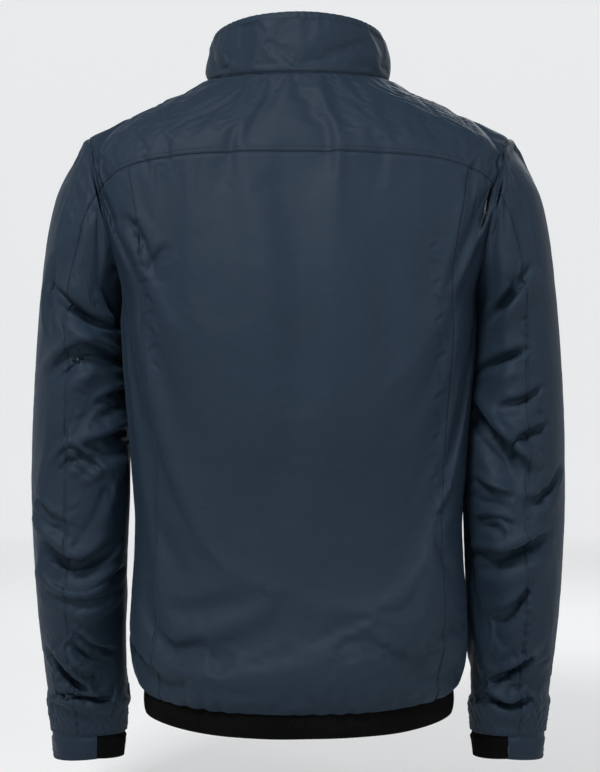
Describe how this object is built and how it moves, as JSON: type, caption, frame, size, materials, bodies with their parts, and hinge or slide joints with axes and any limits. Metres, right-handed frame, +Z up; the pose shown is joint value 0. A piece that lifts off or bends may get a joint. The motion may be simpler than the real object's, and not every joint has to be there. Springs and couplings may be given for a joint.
{
  "type": "foul weather jacket",
  "caption": "Waist-length sailing jacket with stand collar, full front zip, zipped hand pockets, two-piece sleeves, part-elastic cuffs and an elastic hem.",
  "frame": {"origin": "top of the hanger loop, inside the back of the neck", "axes": "+Z up, +Y out of the wearer's back, +X towards the wearer's left"},
  "size_m": [0.59, 0.292, 0.8076],
  "materials": {
    "shell": "fine matte weave, faint sheen",
    "elastic": "ribbed matte elastic",
    "fleece": "short soft pile",
    "lining": "smooth satin lining",
    "zip_plastic": "moulded, satin",
    "zip_metal": "worn satin"
  },
  "bodies": {
    "torso": {"back_panel": "shell", "back_yoke": "shell", "collar": "shell", "collar_lining": "fleece", "hem_rib": "elastic", "back_lining": "fleece", "storm_flap": "shell", "chin_guard": "fleece", "hanger_loop": "lining", "zip_retainer_box": "zip_plastic", "side_back_panel_left": "shell", "side_back_panel_right": "shell", "front_panel_left": "shell", "front_panel_right": "shell", "front_yoke_left": "shell", "front_yoke_right": "shell", "hem_tab_left": "shell", "hem_tab_right": "shell", "front_lining_left": "fleece", "front_lining_right": "fleece", "pocket_bag_left": "lining", "pocket_bag_right": "lining", "pocket_welt_left": "shell", "pocket_welt_right": "shell", "pocket_zip_left": "zip_plastic", "pocket_zip_right": "zip_plastic", "zip_tape_left": "lining", "zip_tape_right": "lining", "zip_teeth_left": "zip_plastic", "zip_teeth_right": "zip_plastic", "zip_top_stop_left": "zip_plastic", "zip_top_stop_right": "zip_plastic"},
    "zip_slider": {"zip_slider": "zip_metal"},
    "zip_puller": {"zip_puller": "zip_metal"},
    "upper_sleeve_left": {"upper_sleeve_top_left": "shell", "upper_sleeve_under_left": "shell", "upper_sleeve_lining_left": "lining"},
    "forearm_left": {"forearm_top_left": "shell", "forearm_under_left": "shell", "forearm_lining_left": "lining", "cuff_shell_left": "shell", "cuff_elastic_left": "elastic"},
    "pocket_slider_left": {"pocket_slider_left": "zip_metal"},
    "pocket_puller_left": {"pocket_puller_left": "zip_metal"},
    "upper_sleeve_right": {"upper_sleeve_top_right": "shell", "upper_sleeve_under_right": "shell", "upper_sleeve_lining_right": "lining"},
    "forearm_right": {"forearm_top_right": "shell", "forearm_under_right": "shell", "forearm_lining_right": "lining", "cuff_shell_right": "shell", "cuff_elastic_right": "elastic"},
    "pocket_slider_right": {"pocket_slider_right": "zip_metal"},
    "pocket_puller_right": {"pocket_puller_right": "zip_metal"}
  },
  "joints": [
    {"name": "zip_slide", "type": "slide", "parent": "torso", "child": "zip_slider", "axis": [0, -0.0649, -0.9979], "range_m": [0, 0.69]},
    {"name": "zip_pull_swing", "type": "hinge", "parent": "zip_slider", "child": "zip_puller", "pos_m": [0, -0.16211, 0.04524], "axis": [-1, 0, 0], "range_deg": [0, 150]},
    {"name": "sleeve_raise_left", "type": "hinge", "parent": "torso", "child": "upper_sleeve_left", "pos_m": [0.228, -0.06, -0.048], "axis": [0, -1, 0], "range_deg": [0, 60]},
    {"name": "elbow_bend_left", "type": "hinge", "parent": "upper_sleeve_left", "child": "forearm_left", "pos_m": [0.2395, -0.134, -0.44], "axis": [-1, 0, 0], "range_deg": [0, 75]},
    {"name": "pocket_slide_left", "type": "slide", "parent": "torso", "child": "pocket_slider_left", "axis": [0.2328, 0.0764, -0.9695], "range_m": [0, 0.128]},
    {"name": "pocket_pull_swing_left", "type": "hinge", "parent": "pocket_slider_left", "child": "pocket_puller_left", "pos_m": [0.10965, -0.17909, -0.41226], "axis": [-0.8649, -0.4396, -0.2423], "range_deg": [0, 140]},
    {"name": "sleeve_raise_right", "type": "hinge", "parent": "torso", "child": "upper_sleeve_right", "pos_m": [-0.228, -0.06, -0.048], "axis": [0, 1, 0], "range_deg": [0, 60]},
    {"name": "elbow_bend_right", "type": "hinge", "parent": "upper_sleeve_right", "child": "forearm_right", "pos_m": [-0.2395, -0.134, -0.44], "axis": [-1, 0, 0], "range_deg": [0, 75]},
    {"name": "pocket_slide_right", "type": "slide", "parent": "torso", "child": "pocket_slider_right", "axis": [-0.2328, 0.0764, -0.9695], "range_m": [0, 0.128]},
    {"name": "pocket_pull_swing_right", "type": "hinge", "parent": "pocket_slider_right", "child": "pocket_puller_right", "pos_m": [-0.10965, -0.17909, -0.41226], "axis": [-0.8649, 0.4396, 0.2423], "range_deg": [0, 140]}
  ]
}
